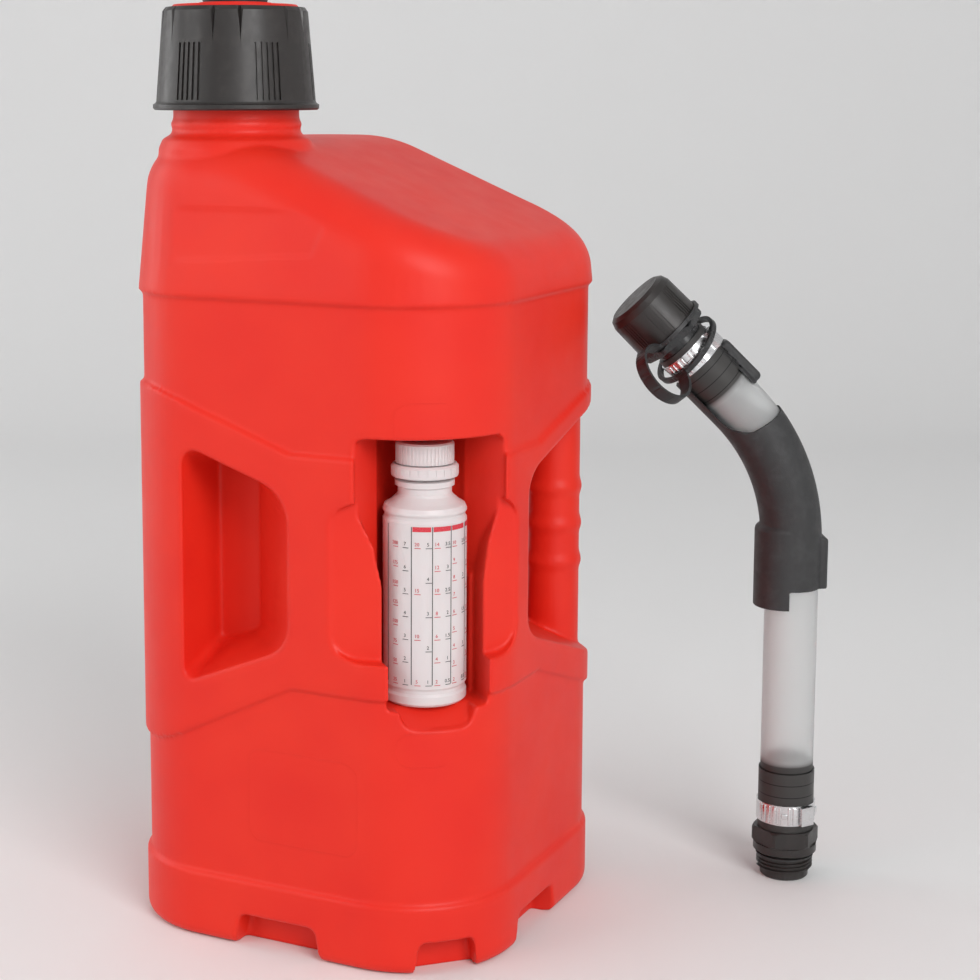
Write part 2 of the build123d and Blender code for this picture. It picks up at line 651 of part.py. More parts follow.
def hose_tube():
    """Clear hose from the coupling to the spout fitting."""
    body = run_round(HOSE_R, HOSE_FOOT, SPOUT_RUN)
    swollen = tube(HOSE_R + 1, HOSE_BORE_R, HOSE_FOOT, HOSE_FOOT + BARB_LEN - 8)
    swollen_top = on_spout(tube(HOSE_R + 1, HOSE_BORE_R, SPOUT_RUN - BARB_LEN + 12, SPOUT_RUN))
    bore = run_round(HOSE_BORE_R, HOSE_FOOT - 1, SPOUT_RUN + 1)
    return place_hose(body + swollen + swollen_top - bore)


def barb(length, bore):
    """Hose tail built upright: three sawtooth rings on a tube."""
    root = HOSE_BORE_R - 0.9
    crest = HOSE_BORE_R
    outline = [(bore, 0), (root, 0)]
    step = (length - 12) / 4
    for ring in range(4):
        low = 4 + ring * step
        outline += [(crest, low), (root, low + step - 1)]
    outline += [(root, length), (bore, length)]
    return turned(outline)


def hose_coupling():
    """Threaded coupling: spigot, thread, collar, hex and barb."""
    low_part = turned([
        (FITTING_BORE_R, 0), (SPIGOT_R - 1, 0), (SPIGOT_R, 1), (SPIGOT_R, 5), (PLUG_R, 5.6), (PLUG_R, 15.2),
        (18.6, 16.4), (20.2, 17.6), (20.2, HEX_LOW), (FITTING_BORE_R, HEX_LOW),
    ])
    ridge = helix_ridge(PLUG_R, THREAD_H, PORT_PITCH, 2.9, 6.3, 1.7, 0.3)
    hexagon = Pos(0, 0, HEX_LOW) * RegularPolygon(HEX_ACROSS / 2, 6, major_radius=False)
    hex_bar = extrude(hexagon, HOSE_FOOT - HEX_LOW)
    hex_bar &= turned([
        (0, HEX_LOW), (20.4, HEX_LOW), (21.4, HEX_LOW + 1.5), (21.4, HOSE_FOOT - 1.4), (20, HOSE_FOOT),
        (0, HOSE_FOOT),
    ])
    hex_bar -= cylinder(FITTING_BORE_R, HEX_LOW - 1, HOSE_FOOT + 1)
    tail = Pos(0, 0, HOSE_FOOT) * barb(BARB_LEN, FITTING_BORE_R)
    return place_hose(low_part + ridge + hex_bar + tail)


def coupling_gasket():
    """Sealing ring at the root of the coupling's thread."""
    return place_hose(tube(18.4, PLUG_R + 0.02, 14.2, 15.2))


def ear_clamp(turn):
    """Stepless band clamp built upright from z = 0: band, ear and lock tongue."""
    inner = HOSE_R + 1.0
    outer = inner + 0.9
    width = 13.0
    band = tube(outer, inner, 0, width)
    ear = box_between((outer - 0.5, -5, 0.5), (outer + 2.8, -3.6, width - 0.5))
    ear += box_between((outer - 0.5, 3.6, 0.5), (outer + 2.8, 5, width - 0.5))
    ear += box_between((outer + 1.6, -5, 0.5), (outer + 2.8, 5, width - 0.5))
    lock = Rot(0, 0, 38) * box_between((outer - 0.6, -4, width / 2 - 2), (outer + 0.9, 4, width / 2 + 2))
    return Rot(0, 0, turn) * (band + ear + lock)


def lower_clamp():
    """Clamp over the coupling's barb."""
    return place_hose(Pos(0, 0, HOSE_FOOT + 5) * ear_clamp(120))


def upper_clamp():
    """Clamp over the spout fitting's barb."""
    return place_hose(on_spout(Pos(0, 0, SPOUT_RUN - 16.5) * ear_clamp(150)))


def grip_sleeve():
    """Moulded grip over the bend: thick inside, thin outside, open in front of the spout fitting."""
    body = run_round(GRIP_R, SLEEVE_LOW, SLEEVE_RUN, GRIP_SHIFT)
    palm = fillet(cylinder(GRIP_R, SLEEVE_LOW, PALM_TOP, PALM_SHIFT).edges().group_by(Axis.Z)[-1], 4)
    pad = fillet(box_between((-21.4, -9, PAD_LOW), (-10, 9, PAD_TOP)).edges().group_by(Axis.X)[0], 2.5)
    tongue = on_spout(box_between((-22.6, -8, TONGUE_LOW), (-12, 6, SLEEVE_RUN)))
    body += palm + pad + fillet(tongue.edges(), 3)
    body -= run_round(HOSE_R + SLEEVE_GAP, SLEEVE_LOW - 1, SLEEVE_RUN + 2)
    body -= on_spout(cylinder(HOSE_R + 1 + SLEEVE_GAP, SPOUT_RUN - BARB_LEN + 10, SPOUT_RUN))
    body -= box_between((-40, -40, SLEEVE_LOW - 2), (5, 40, PAD_LOW + 1))
    opening = [(16.6, 60), (16.6, -5), (9, -15), (-12, -20), (-40, -20), (-40, TONGUE_LOW),
               (-14.5, TONGUE_LOW), (-14.5, 60)]
    body -= on_spout(prism_xz(opening, 1, 40, [0, 12, 12, 0, 0, 0, 3, 0]))
    gap = [(-8, -19), (-40, -19), (-40, TONGUE_LOW), (-8, TONGUE_LOW)]
    body -= on_spout(prism_xz(gap, -40, 2, [6, 0, 0, 6]))
    return place_hose(body)


def spout_body():
    """Upper fitting: barb in the hose, collar, hex and threaded nozzle, built in place."""
    bore = FITTING_BORE_R
    run = SPOUT_RUN
    body = turned([(bore, run), (16.2, run), (16.2, run + 4.5), (bore, run + 4.5)])
    hex_low = run + 4.5
    hex_bar = extrude(Pos(0, 0, hex_low) * RegularPolygon(21.0, 6, major_radius=False), 4.6)
    hex_bar &= turned([(0, hex_low), (22.4, hex_low), (23.4, hex_low + 1), (23.4, hex_low + 3.6),
                       (22.4, hex_low + 4.6), (0, hex_low + 4.6)])
    nozzle = tube(NOZZLE_R, bore, hex_low + 4.6, run + 34)
    ridge = helix_ridge(NOZZLE_R, 1.2, SPOUT_PITCH, 4, run + 13.5, 1.6, 0.6)
    tail = Pos(0, 0, run) * Rot(180, 0, 0) * barb(BARB_LEN - 4, bore)
    fitting = body + (hex_bar - cylinder(bore, 0, 90)) + nozzle + ridge + tail
    return place_hose(on_spout(fitting))


def spout_cap():
    """Ribbed cap over the nozzle."""
    low = SPOUT_RUN + 9.6
    high = SPOUT_RUN + 41.0
    bore = 19.1
    ceiling = SPOUT_RUN + 35.6
    body = turned([
        (bore, low), (SPOUT_CAP_R, low), (SPOUT_CAP_R - 0.5, high - 6), (SPOUT_CAP_R - 2, high - 2),
        (SPOUT_CAP_R - 5, high), (0, high), (0, ceiling), (bore, ceiling),
    ])
    groove = Pos(SPOUT_CAP_R + 0.2, 0, (low + high) / 2 - 2) * Box(1.8, 1.0, high - low - 8)
    for group in range(8):
        for rib in range(4):
            body -= Rot(0, 0, group * 45 + (rib - 1.5) * 5.2) * groove
    ridge = helix_ridge(bore, 1.2, SPOUT_PITCH, 3, SPOUT_RUN + 12, 1.6, 0.6, outward=False)
    return place_hose(on_spout(body + ridge))


def spout_cap_seal():
    """Sealing disc in the spout cap."""
    return place_hose(on_spout(cylinder(18.4, SPOUT_RUN + 34, SPOUT_RUN + 35.6)))


def cap_tether():
    """Loose ring round the fitting, a strap that loops out, and a ring round the cap's skirt."""
    tilt = 13.0
    ring = Pos(0, 0, SPOUT_RUN - 6) * Rot(0, tilt, 0) * tube(25.0, 22.4, -1.6, 1.6)
    cap_ring = tube(25.4, SPOUT_CAP_R + 0.3, SPOUT_RUN + 10, SPOUT_RUN + 12.6)
    start = (24.2, 0, SPOUT_RUN - 10.6)
    finish = (24.8, 0, SPOUT_RUN + 11.3)
    outermost = (STRAP_REACH, 0, SPOUT_RUN - 1)
    loop = ThreePointArc(start, outermost, finish)
    section = Plane(origin=start, x_dir=(0, 1, 0), z_dir=tuple(loop % 0)) * Rectangle(STRAP_WIDTH, 1.8)
    strap = sweep(section, path=loop)
    tether = Rot(0, 0, STRAP_TURN_DEG) * (ring + strap + cap_ring)
    return place_hose(on_spout(tether))


PIECES = {
    "tank": tank,
    "cap_collar": cap_collar,
    "cap_insert": cap_insert,
    "cap_gasket": cap_gasket,
    "port_plug": port_plug,
    "plug_gasket": plug_gasket,
    "mixing_bottle": mixing_bottle,
    "bottle_cap": bottle_cap,
    "bottle_cap_liner": bottle_cap_liner,
    "tamper_ring": tamper_ring,
    "hose_tube": hose_tube,
    "hose_coupling": hose_coupling,
    "coupling_gasket": coupling_gasket,
    "lower_clamp": lower_clamp,
    "upper_clamp": upper_clamp,
    "grip_sleeve": grip_sleeve,
    "spout_body": spout_body,
    "spout_cap": spout_cap,
    "spout_cap_seal": spout_cap_seal,
    "cap_tether": cap_tether,
}

os.makedirs("parts", exist_ok=True)
for name, make in PIECES.items():
    export_step(make(), "parts/" + name + ".step")
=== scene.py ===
import bpy
import bmesh
from math import cos, radians, sin
from mathutils import Matrix, Vector


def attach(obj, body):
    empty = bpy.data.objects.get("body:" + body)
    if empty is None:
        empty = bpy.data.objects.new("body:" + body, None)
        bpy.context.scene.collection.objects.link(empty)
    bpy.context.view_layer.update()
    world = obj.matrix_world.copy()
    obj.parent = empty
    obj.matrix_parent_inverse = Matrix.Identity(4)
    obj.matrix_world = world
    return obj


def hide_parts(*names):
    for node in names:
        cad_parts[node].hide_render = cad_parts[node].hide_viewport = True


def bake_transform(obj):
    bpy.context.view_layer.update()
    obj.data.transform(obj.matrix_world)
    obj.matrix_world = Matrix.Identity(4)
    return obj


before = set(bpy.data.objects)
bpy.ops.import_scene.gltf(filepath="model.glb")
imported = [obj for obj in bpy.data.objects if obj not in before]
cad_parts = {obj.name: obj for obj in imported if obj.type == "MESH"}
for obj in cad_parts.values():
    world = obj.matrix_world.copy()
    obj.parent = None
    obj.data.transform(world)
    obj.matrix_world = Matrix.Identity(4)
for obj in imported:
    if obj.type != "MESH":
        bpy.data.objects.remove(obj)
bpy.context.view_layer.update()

mm = 0.001
print("jerry can: frame loaded")


def deselectAll():
    if bpy.context.mode != "OBJECT":
        bpy.ops.object.mode_set(mode="OBJECT")
    bpy.ops.object.select_all(action="DESELECT")


def makeActive(piece):
    deselectAll()
    piece.select_set(True)
    bpy.context.view_layer.objects.active = piece


def applyAll(piece):
    # every modifier on the piece, top to bottom
    makeActive(piece)
    for modifier in list(piece.modifiers):
        bpy.ops.object.modifier_apply(modifier=modifier.name)


def bakePlace(piece):
    makeActive(piece)
    bpy.ops.object.transform_apply(location=True, rotation=True, scale=True)


def selectFaces(piece, rule):
    # edit mode with just the faces chosen by rule(centre, normal)
    makeActive(piece)
    bpy.ops.object.mode_set(mode="EDIT")
    bpy.ops.mesh.select_mode(type="FACE")
    mesh = bmesh.from_edit_mesh(piece.data)
    for face in mesh.faces:
        face.select_set(bool(rule(face.calc_center_median(), face.normal)))
    mesh.select_flush_mode()
    bmesh.update_edit_mesh(piece.data)


def selectEdges(piece, rule):
    # in edit mode, just the edges whose two ends both pass rule(place)
    bpy.ops.mesh.select_mode(type="EDGE")
    mesh = bmesh.from_edit_mesh(piece.data)
    for edge in mesh.edges:
        edge.select_set(all(rule(vert.co) for vert in edge.verts))
    bmesh.update_edit_mesh(piece.data)


def copyOfNode(nodeName, newName):
    # a free copy of a CAD node's mesh, with its loose triangles merged
    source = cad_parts[nodeName]
    piece = bpy.data.objects.new(newName, source.data.copy())
    bpy.context.scene.collection.objects.link(piece)
    piece.data.materials.clear()
    makeActive(piece)
    bpy.ops.object.mode_set(mode="EDIT")
    bpy.ops.mesh.select_all(action="SELECT")
    bpy.ops.mesh.remove_doubles(threshold=0.000005)
    bpy.ops.object.mode_set(mode="OBJECT")
    return piece


def joinPieces(pieces, name):
    deselectAll()
    for piece in pieces:
        piece.select_set(True)
    bpy.context.view_layer.objects.active = pieces[0]
    bpy.ops.object.join()
    whole = bpy.context.object
    whole.name = name
    return whole


def smoothShade(piece, angle=40):
    makeActive(piece)
    bpy.ops.object.shade_smooth_by_angle(angle=radians(angle))


def voxelSoften(piece, shape):
    # rebuild the surface in small voxels, then relax it so that its edges round off
    remesh = piece.modifiers.new("remesh", "REMESH")
    remesh.mode = "VOXEL"
    remesh.voxel_size = shape["voxel"] * mm
    soften = piece.modifiers.new("soften", "SMOOTH")
    soften.factor = shape["smoothing"]
    soften.iterations = shape["rounds"]
    applyAll(piece)
    thin = piece.modifiers.new("thin", "DECIMATE")
    thin.ratio = min(1, shape["triangles"] / (2 * len(piece.data.polygons)))


def finishPiece(piece, body, material):
    piece.data.materials.clear()
    piece.data.materials.append(material)
    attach(piece, body)


def dress(nodeName, material):
    # new finish on a CAD node that is shown as it is
    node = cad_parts[nodeName]
    node.data.materials.clear()
    node.data.materials.append(material)
    smoothShade(node, 32)


def newMaterial(name, colour, roughness):
    material = bpy.data.materials.new(name)
    material.use_nodes = True
    shader = material.node_tree.nodes["Principled BSDF"]
    shader.inputs["Base Color"].default_value = (*colour, 1)
    shader.inputs["Roughness"].default_value = roughness
    return material, shader


def addNode(material, kind, **settings):
    node = material.node_tree.nodes.new(kind)
    for key, value in settings.items():
        setattr(node, key, value)
    return node


def link(material, source, target):
    material.node_tree.links.new(source, target)


def objectPoint(material, scale=(1, 1, 1)):
    place = addNode(material, "ShaderNodeTexCoord")
    mapping = addNode(material, "ShaderNodeMapping")
    mapping.inputs["Scale"].default_value = scale
    link(material, place.outputs["Object"], mapping.inputs["Vector"])
    return mapping.outputs["Vector"]


def noise(material, point, size, detail=3.0, rough=0.5):
    # size is the grain in millimetres
    node = addNode(material, "ShaderNodeTexNoise")
    node.inputs["Scale"].default_value = 1 / (size * mm)
    node.inputs["Detail"].default_value = detail
    node.inputs["Roughness"].default_value = rough
    link(material, point, node.inputs["Vector"])
    return node.outputs["Fac"]


def remap(material, value, low, high, newLow, newHigh):
    node = addNode(material, "ShaderNodeMapRange")
    node.inputs["From Min"].default_value = low
    node.inputs["From Max"].default_value = high
    node.inputs["To Min"].default_value = newLow
    node.inputs["To Max"].default_value = newHigh
    link(material, value, node.inputs["Value"])
    return node.outputs["Result"]


def blendColours(material, factor, first, second):
    # each of the two is a colour, or another node's colour
    node = addNode(material, "ShaderNodeMix", data_type="RGBA")
    sockets = [item for item in node.inputs if item.type == "RGBA"]
    for socket, value in zip(sockets, (first, second)):
        if isinstance(value, tuple):
            socket.default_value = (*value, 1)
        else:
            link(material, value, socket)
    link(material, factor, node.inputs["Factor"])
    return [item for item in node.outputs if item.type == "RGBA"][0]


def unevenGloss(material, shader, point, size, detail, low, high):
    # roughness that wanders between low and high over size millimetres
    gloss = remap(material, noise(material, point, size, detail), 0.3, 0.7, low, high)
    link(material, gloss, shader.inputs["Roughness"])


def bump(material, shader, height, depth, strength=1.0, under=None):
    # depth is the relief in millimetres
    node = addNode(material, "ShaderNodeBump")
    node.inputs["Distance"].default_value = depth * mm
    node.inputs["Strength"].default_value = strength
    link(material, height, node.inputs["Height"])
    if under is not None:
        link(material, under, node.inputs["Normal"])
    link(material, node.outputs["Normal"], shader.inputs["Normal"])
    return node.outputs["Normal"]


def maths(material, operation, first, second=None, third=None):
    node = addNode(material, "ShaderNodeMath", operation=operation)
    for socket, value in zip(node.inputs, (first, second, third)):
        if value is None:
            continue
        if isinstance(value, (int, float)):
            socket.default_value = value
        else:
            link(material, value, socket)
    return node.outputs["Value"]


# faint lines on the front face: centre and half size of each (x, z), corner, width and how far
# forward the face has to be, all in millimetres
witnessLines = {"rings": [((14, 95), (36, 28)), ((88, 322), (16, 12)), ((88, 134), (15, 10))],
                "corner": 9, "width": 0.35, "depth": 0.3, "front": -95}


def frontOutline(material, point, centre, half):
    # a fine rounded rectangle drawn on the front face
    corner = witnessLines["corner"]
    split = addNode(material, "ShaderNodeSeparateXYZ")
    link(material, point, split.inputs["Vector"])
    reach = []
    for axis, middle, extent in zip(("X", "Z"), centre, half):
        offset = maths(material, "SUBTRACT", split.outputs[axis], middle * mm)
        away = maths(material, "ABSOLUTE", offset)
        past = maths(material, "SUBTRACT", away, (extent - corner) * mm)
        reach.append(maths(material, "MAXIMUM", past, 0.0))
    squares = [maths(material, "MULTIPLY", part, part) for part in reach]
    far = maths(material, "SQRT", maths(material, "ADD", *squares))
    onLine = maths(material, "COMPARE", far, corner * mm, witnessLines["width"] * mm)
    onFront = maths(material, "LESS_THAN", split.outputs["Y"], witnessLines["front"] * mm)
    return maths(material, "MULTIPLY", onLine, onFront)


def redPolyethylene():
    look = {"lit": (0.80, 0.030, 0.014), "deep": (0.76, 0.022, 0.012), "roughness": 0.43,
            "grainSize": 0.8, "grainDepth": 0.035, "waveSize": 60, "waveDepth": 0.05}
    material, shader = newMaterial("redPolyethylene", look["lit"], look["roughness"])
    point = objectPoint(material)
    tint = remap(material, noise(material, point, 60, 2), 0.3, 0.7, 0, 1)
    link(material, blendColours(material, tint, look["lit"], look["deep"]), shader.inputs["Base Color"])
    unevenGloss(material, shader, point, 18, 4, look["roughness"] - 0.025, look["roughness"] + 0.035)
    grain = bump(material, shader, noise(material, point, look["grainSize"], 2), look["grainDepth"], 0.6)
    wave = bump(material, shader, noise(material, point, look["waveSize"], 1), look["waveDepth"], 0.5, grain)
    # faint parting lines left by the mould's inserts
    for centre, half in witnessLines["rings"]:
        ring = frontOutline(material, point, centre, half)
        wave = bump(material, shader, ring, witnessLines["depth"], 0.8, wave)
    shader.inputs["Subsurface Weight"].default_value = 0.12
    shader.inputs["Subsurface Radius"].default_value = (0.006, 0.001, 0.001)
    shader.inputs["Specular IOR Level"].default_value = 0.27
    return material


def blackPlastic(name, colour, roughness, grain, depth):
    material, shader = newMaterial(name, colour, roughness)
    point = objectPoint(material)
    worn = tuple(2.2 * part for part in colour)
    scuff = remap(material, noise(material, point, 9, 5, 0.6), 0.5, 0.8, 0, 0.6)
    link(material, blendColours(material, scuff, colour, worn), shader.inputs["Base Color"])
    unevenGloss(material, shader, point, 5, 4, roughness - 0.05, roughness + 0.10)
    bump(material, shader, noise(material, point, grain, 2), depth, 0.7)
    return material


def bottleWhitePaintedRedReflection():
    # the bottle is white; the pink in both colours below is a painted reflection of the red bay around it,
    # and the two colours differ at random
    look = {"lit": (0.81, 0.755, 0.755), "deep": (0.785, 0.72, 0.725), "cloudSize": 30,
            "roughness": 0.34, "rippleSize": 6, "rippleDepth": 0.12}
    material, shader = newMaterial("bottleWhitePaintedRedReflection", look["lit"], look["roughness"])
    point = objectPoint(material)
    tint = remap(material, noise(material, point, look["cloudSize"], 2), 0.35, 0.65, 0, 1)
    link(material, blendColours(material, tint, look["lit"], look["deep"]), shader.inputs["Base Color"])
    shader.inputs["Subsurface Weight"].default_value = 0.65
    shader.inputs["Subsurface Radius"].default_value = (0.012, 0.010, 0.010)
    shader.inputs["Transmission Weight"].default_value = 0.12
    bump(material, shader, noise(material, point, look["rippleSize"], 2), look["rippleDepth"], 0.5)
    return material


# the spout's straight end starts at foot and points along lean (metres); the hose and the upper clamp tabs
# use it
spoutLine = {"foot": (0.197285, 0.12693, 0.310681), "lean": (-0.627211, -0.326506, 0.707107)}


def frostedHose():
    # clear hose, frosted; it darkens where the black hose tails press against it from inside
    look = {"clear": (0.93, 0.94, 0.94), "dark": (0.075, 0.072, 0.070), "groove": (0.02, 0.02, 0.02),
            "lowerTail": 0.080, "upperTail": 0.011, "fade": 0.004, "spoutAbove": 0.25,
            "lowRing": 0.072, "highRing": 0.017, "ringStep": 0.0078, "ringWidth": 0.0003}
    material, shader = newMaterial("frostedHose", look["clear"], 0.42)
    point = objectPoint(material)
    unevenGloss(material, shader, point, 7, 4, 0.34, 0.5)
    split = addNode(material, "ShaderNodeSeparateXYZ")
    link(material, point, split.inputs["Vector"])
    height = split.outputs["Z"]
    offset = addNode(material, "ShaderNodeVectorMath", operation="SUBTRACT")
    link(material, point, offset.inputs[0])
    offset.inputs[1].default_value = spoutLine["foot"]
    dot = addNode(material, "ShaderNodeVectorMath", operation="DOT_PRODUCT")
    link(material, offset.outputs["Vector"], dot.inputs[0])
    dot.inputs[1].default_value = spoutLine["lean"]
    along = dot.outputs["Value"]
    lower = remap(material, height, look["lowerTail"] - look["fade"], look["lowerTail"], 1, 0)
    upper = remap(material, along, look["upperTail"], look["upperTail"] + look["fade"], 0, 1)
    high = maths(material, "GREATER_THAN", height, look["spoutAbove"])
    tail = maths(material, "MAXIMUM", lower, maths(material, "MULTIPLY", upper, high))
    # painted shade: three thin dark rings over each hose tail, for the shade in the barbs' grooves under the
    # hose
    rings = 0.0
    for count in range(3):
        step = count * look["ringStep"]
        lowRing = maths(material, "COMPARE", height, look["lowRing"] - step, look["ringWidth"])
        highRing = maths(material, "COMPARE", along, look["highRing"] + step, look["ringWidth"])
        either = maths(material, "MAXIMUM", lowRing, maths(material, "MULTIPLY", highRing, high))
        rings = maths(material, "MAXIMUM", rings, either)
    body = blendColours(material, tail, look["clear"], look["dark"])
    link(material, blendColours(material, rings, body, look["groove"]), shader.inputs["Base Color"])
    link(material, remap(material, tail, 0, 1, 0.78, 0.30), shader.inputs["Transmission Weight"])
    shader.inputs["IOR"].default_value = 1.3
    bump(material, shader, noise(material, point, 2.4, 3), 0.05, 0.5)
    return material


def stainlessStrip():
    # drawn steel: its grain runs round the band
    look = {"colour": (0.72, 0.72, 0.73), "roughness": 0.2, "stretch": (1, 1, 14)}
    material, shader = newMaterial("stainlessStrip", look["colour"], look["roughness"])
    shader.inputs["Metallic"].default_value = 1.0
    point = objectPoint(material, look["stretch"])
    unevenGloss(material, shader, point, 3, 3, 0.14, 0.34)
    bump(material, shader, noise(material, point, 1.5, 3), 0.02, 0.5)
    return material


def printedInk(name, colour, thin):
    # the ink lies a little thin in places, so some of the bottle shows through
    material, shader = newMaterial(name, colour, 0.5)
    point = objectPoint(material)
    cover = remap(material, noise(material, point, 0.7, 3), 0.45, 0.8, 0, 0.4)
    link(material, blendColours(material, cover, colour, thin), shader.inputs["Base Color"])
    unevenGloss(material, shader, point, 2, 2, 0.42, 0.58)
    return material


# the black plastics give colour, roughness, grain size and grain depth (millimetres)
finish = {
    "red": redPolyethylene(),
    "black": blackPlastic("blackPlastic", (0.020, 0.017, 0.016), 0.36, 0.35, 0.04),
    "grip": blackPlastic("grainedGrip", (0.026, 0.026, 0.027), 0.52, 0.7, 0.16),
    "gloss": blackPlastic("glossBlack", (0.016, 0.016, 0.017), 0.24, 0.5, 0.02),
    "strap": blackPlastic("strapRubber", (0.020, 0.020, 0.021), 0.45, 0.5, 0.05),
    "seal": blackPlastic("sealRubber", (0.03, 0.03, 0.03), 0.7, 0.4, 0.05),
    "white": bottleWhitePaintedRedReflection(),
    "hose": frostedHose(),
    "steel": stainlessStrip(),
    "inkRed": printedInk("inkRed", (0.62, 0.02, 0.04), (0.72, 0.26, 0.27)),
    "inkBlack": printedInk("inkBlack", (0.03, 0.03, 0.03), (0.22, 0.21, 0.21)),
}
print("materials made")


# voxel, rim and plug sizes in millimetres
tankShape = {"voxel": 1.25, "smoothing": 0.5, "rounds": 6, "triangles": 175000, "rimHeight": 537.8,
             "rimSlack": 0.4, "plugRise": 4}


def closeRim(piece, rise):
    # cap the open neck, first drawn up by rise where the piece has to pass through the rim
    makeActive(piece)
    bpy.ops.object.mode_set(mode="EDIT")
    bpy.ops.mesh.select_all(action="DESELECT")
    bpy.ops.mesh.select_mode(type="EDGE")
    bpy.ops.mesh.select_non_manifold()
    if rise:
        bpy.ops.mesh.extrude_region_move(TRANSFORM_OT_translate={"value": (0, 0, rise * mm)})
    bpy.ops.mesh.edge_face_add()
    bpy.ops.mesh.select_all(action="SELECT")
    bpy.ops.mesh.normals_make_consistent(inside=False)
    bpy.ops.object.mode_set(mode="OBJECT")


def softTank():
    # the moulded skin: outside rounded off, inside kept as it is
    whole = copyOfNode("tank", "tankSkin")
    rimLow = (tankShape["rimHeight"] - tankShape["rimSlack"]) * mm
    selectFaces(whole, lambda centre, normal: centre.z > rimLow and normal.z > 0.9)
    bpy.ops.mesh.delete(type="FACE")
    # without its rim the wall falls into two shells: the cavity and the outer skin
    bpy.ops.mesh.select_all(action="SELECT")
    bpy.ops.mesh.separate(type="LOOSE")
    bpy.ops.object.mode_set(mode="OBJECT")
    shells = sorted(bpy.context.selected_objects, key=lambda shell: shell.dimensions.x)
    cavity = shells[0]
    skin = shells[-1]
    closeRim(cavity, tankShape["plugRise"])
    closeRim(skin, 0)
    voxelSoften(skin, tankShape)
    hollow = skin.modifiers.new("hollow", "BOOLEAN")
    hollow.operation = "DIFFERENCE"
    hollow.object = cavity
    hollow.solver = "EXACT"
    applyAll(skin)
    bpy.data.objects.remove(cavity)
    skin.name = "tankSkin"
    smoothShade(skin, 60)
    finishPiece(skin, "tank", finish["red"])
    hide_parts("tank")
    print("tank skin:", len(skin.data.polygons), "faces")


softTank()

gripShape = {"voxel": 0.6, "smoothing": 0.5, "rounds": 5, "triangles": 60000}


def softGrip():
    skin = copyOfNode("grip_sleeve", "gripSkin")
    voxelSoften(skin, gripShape)
    applyAll(skin)
    smoothShade(skin, 50)
    finishPiece(skin, "hose", finish["grip"])
    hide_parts("grip_sleeve")
    print("grip skin:", len(skin.data.polygons), "faces")


softGrip()

# the measuring scale printed on the bottle: its axis in metres, the rest in millimetres and degrees
# each column has the angle of its upright line, then where its red and its black figures stand,
# top down; strips are the red marks along the top of a column
scalePrint = {
    "axis": (0.074, -0.074), "radius": 24.42, "facing": -62.5, "low": 170.5, "high": 262.5,
    "textSize": 2.9, "thickness": 0.03, "lineWidth": 0.45, "tick": (3.6, 0.35), "tickDrop": 1.3,
    "topMargin": 11, "bothMargins": 12, "strip": (2.3, 2.8), "stripStart": 4.2, "stripStep": 4.9,
    "stripDrop": 1.4,
    "columns": [
        (-60, -45, ["200", "175", "150", "125", "100", "75", "50", "25"], -29, list("7654321")),
        (-19.5, -12, ["20", "15", "10", "5"], 3, list("54321")),
        (9, 15, ["14", "12", "10", "8", "6", "4", "2"], 31, ["3.5", "3", "2.5", "2", "1.5", "1", "0.5"]),
        (36.5, 42, ["10", "9", "8", "7", "6", "5", "4", "3", "2"], 62, ["2.5", "2", "1.5", "1", "0.5"]),
        (68, 74, ["8", "7", "6", "5", "4", "3", "2"], None, []),
    ],
}


def onBottle(piece, angle, height):
    # stand a flat piece on the bottle's wall, facing outwards
    facing = radians(scalePrint["facing"] + angle)
    radius = scalePrint["radius"] * mm
    centre = scalePrint["axis"]
    piece.location = (centre[0] + radius * cos(facing), centre[1] + radius * sin(facing), height * mm)
    piece.rotation_euler = (radians(90), 0, facing + radians(90))


def printedText(words, angle, height):
    bpy.ops.object.text_add()
    piece = bpy.context.object
    piece.data.body = words
    piece.data.size = scalePrint["textSize"] * mm
    piece.data.align_x = "CENTER"
    piece.data.extrude = scalePrint["thickness"] * mm
    piece.data.resolution_u = 3
    onBottle(piece, angle, height)
    bpy.ops.object.convert(target="MESH")
    return bpy.context.object


def printedBar(width, tall, angle, height):
    bpy.ops.mesh.primitive_cube_add(size=1)
    piece = bpy.context.object
    piece.scale = (width * mm, tall * mm, 2 * scalePrint["thickness"] * mm)
    onBottle(piece, angle, height)
    return piece


def joinPrint(pieces, name):
    whole = joinPieces(pieces, name)
    bakePlace(whole)
    finishPiece(whole, "bottle", finish["inkRed" if name == "scaleRed" else "inkBlack"])


def scaleFigures(figures, angle):
    made = []
    span = scalePrint["high"] - scalePrint["low"] - scalePrint["bothMargins"]
    for count, words in enumerate(figures):
        height = scalePrint["high"] - scalePrint["topMargin"] - span * count / max(1, len(figures) - 1)
        made.append(printedText(words, angle, height))
        made.append(printedBar(*scalePrint["tick"], angle + 1, height - scalePrint["tickDrop"]))
    return made


def printScale():
    red = []
    black = []
    low = scalePrint["low"]
    high = scalePrint["high"]
    for column, (line, redAngle, redFigures, blackAngle, blackFigures) in enumerate(scalePrint["columns"]):
        black.append(printedBar(scalePrint["lineWidth"], high - low, line, (low + high) / 2))
        red += scaleFigures(redFigures, redAngle)
        black += scaleFigures(blackFigures, blackAngle)
        if column:
            for strip in range(5):
                angle = line + scalePrint["stripStart"] + strip * scalePrint["stripStep"]
                red.append(printedBar(*scalePrint["strip"], angle, high - scalePrint["stripDrop"]))
    joinPrint(red, "scaleRed")
    joinPrint(black, "scaleBlack")
    print("scale printed")


printScale()

